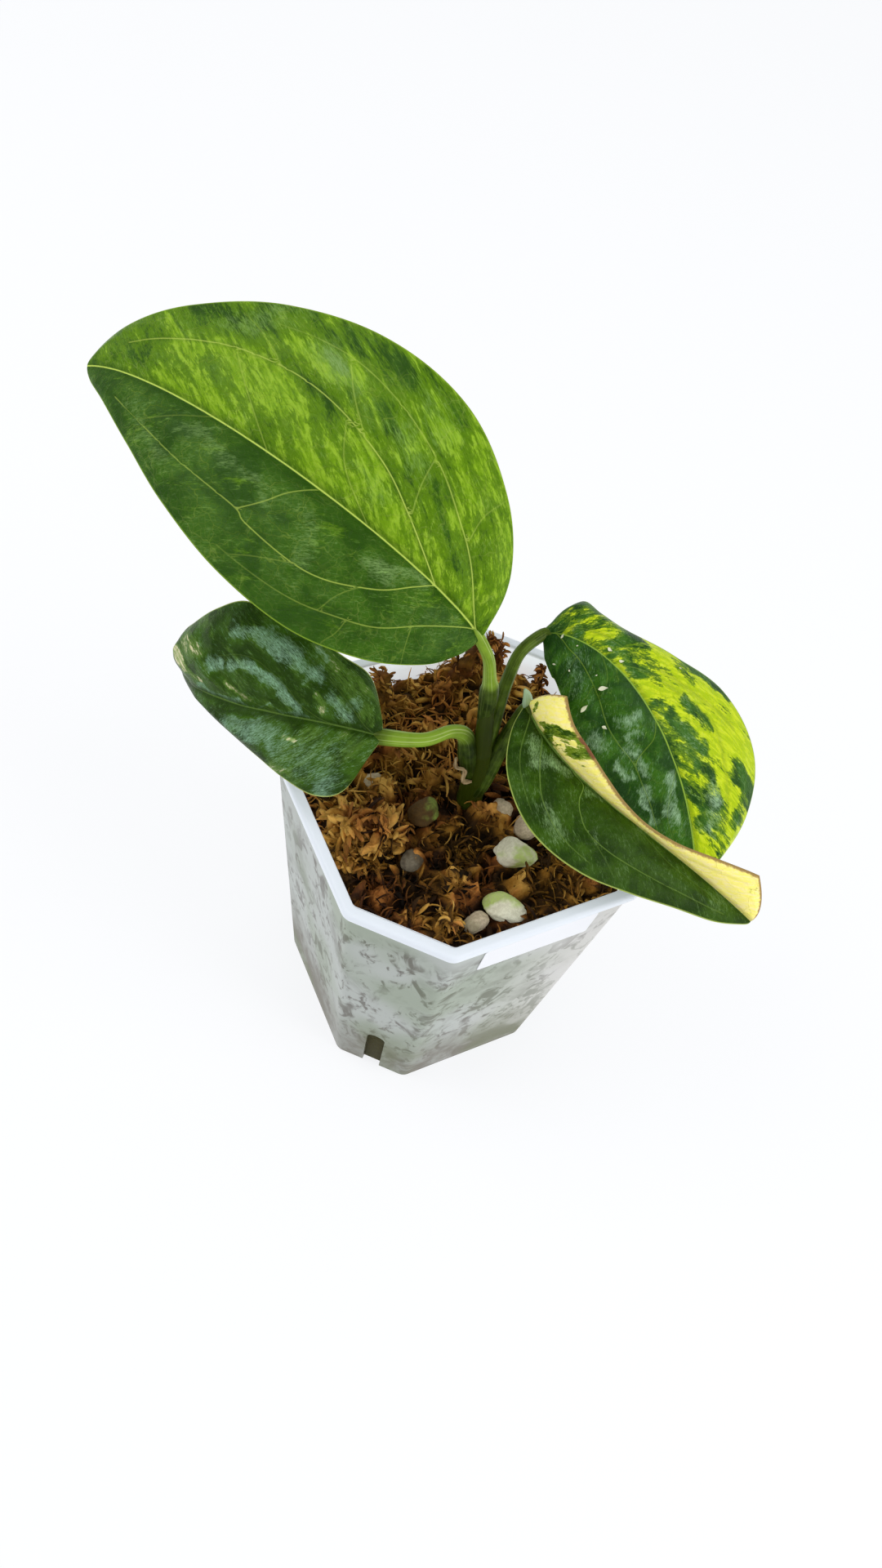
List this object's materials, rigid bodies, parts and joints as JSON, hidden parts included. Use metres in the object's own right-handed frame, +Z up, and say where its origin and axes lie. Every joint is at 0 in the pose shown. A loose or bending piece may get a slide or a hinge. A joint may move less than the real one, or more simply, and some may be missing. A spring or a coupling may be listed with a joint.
{
  "type": "potted variegated monstera karstenianum",
  "caption": "Young variegated aroid house plant with oval quilted leaves on curved stalks, rooted in moss and gravel in a tapered eight-sided frosted nursery pot",
  "frame": {"origin": "the centre of the pot's flat underside", "axes": "+Z up along the pot's axis, X and Y square to the pot's four long sides, -Y towards the side with the label"},
  "size_m": [0.1159, 0.1443, 0.1771],
  "materials": {
    "frosted_plastic": "frosted translucent white plastic, stained by the damp moss behind it",
    "label_paper": "blank white paper label, matt",
    "moss": "dried orange-brown sphagnum moss, coarse and fibrous",
    "pumice": "pale porous pumice, partly green with algae",
    "gravel": "small dull grey and olive gravel",
    "stem": "living green stem, satin",
    "dry_sheath": "dried papery leaf sheath, matt",
    "leaf_mottled": "living leaf, green mottled with yellow-green, satin gloss, pale veins",
    "leaf_dark": "living leaf, dark green flecked with cream, satin gloss, quilted",
    "leaf_yellow": "living leaf, dark green and bright yellow halves, satin gloss, quilted",
    "leaf_cream": "living leaf, dark green with a folded cream flap and a brown dried edge, satin gloss"
  },
  "bodies": {
    "root": {"pot": "frosted_plastic", "label": "label_paper", "moss": "moss", "stone_1": "pumice", "stone_2": "pumice", "stone_3": "gravel", "stone_4": "gravel", "stone_5": "pumice", "stone_6": "pumice", "stone_7": "pumice", "stone_8": "pumice", "stone_9": "pumice", "stone_10": "gravel", "stem": "stem", "dry_sheath": "dry_sheath", "leaf_large": "leaf_mottled", "leaf_left": "leaf_dark", "leaf_right": "leaf_yellow", "leaf_folded": "leaf_cream"}
  },
  "joints": []
}
